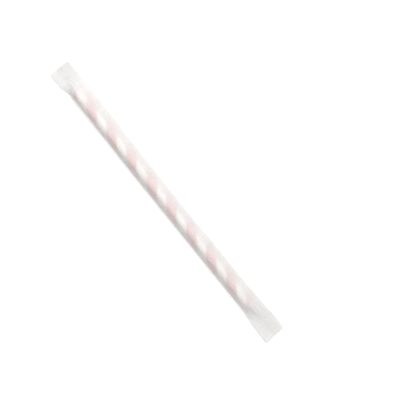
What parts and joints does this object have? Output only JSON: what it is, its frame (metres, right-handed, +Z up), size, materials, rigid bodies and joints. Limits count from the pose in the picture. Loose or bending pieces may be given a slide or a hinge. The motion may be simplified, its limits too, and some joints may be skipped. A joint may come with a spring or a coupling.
{
  "type": "wrapped drinking straw",
  "caption": "Striped paper drinking straw sealed in a flat translucent paper sleeve, lying on its back; the sleeve's ends are pressed flat past the straw.",
  "frame": {"origin": "middle of the underside of the bounding box, on the surface that the wrapped straw lies on", "axes": "+X along the straw towards the longer flat end of the sleeve, +Y across the sleeve away from the side that the straw lies nearer to, +Z up, away from the lap seam"},
  "size_m": [0.251, 0.0166, 0.0066],
  "materials": {
    "straw_paper": "matt paper with printed red and white spiral stripes",
    "wrapper_paper": "thin, translucent, matt"
  },
  "bodies": {
    "root": {"paper_straw": "straw_paper", "paper_wrapper": "wrapper_paper"}
  },
  "joints": []
}
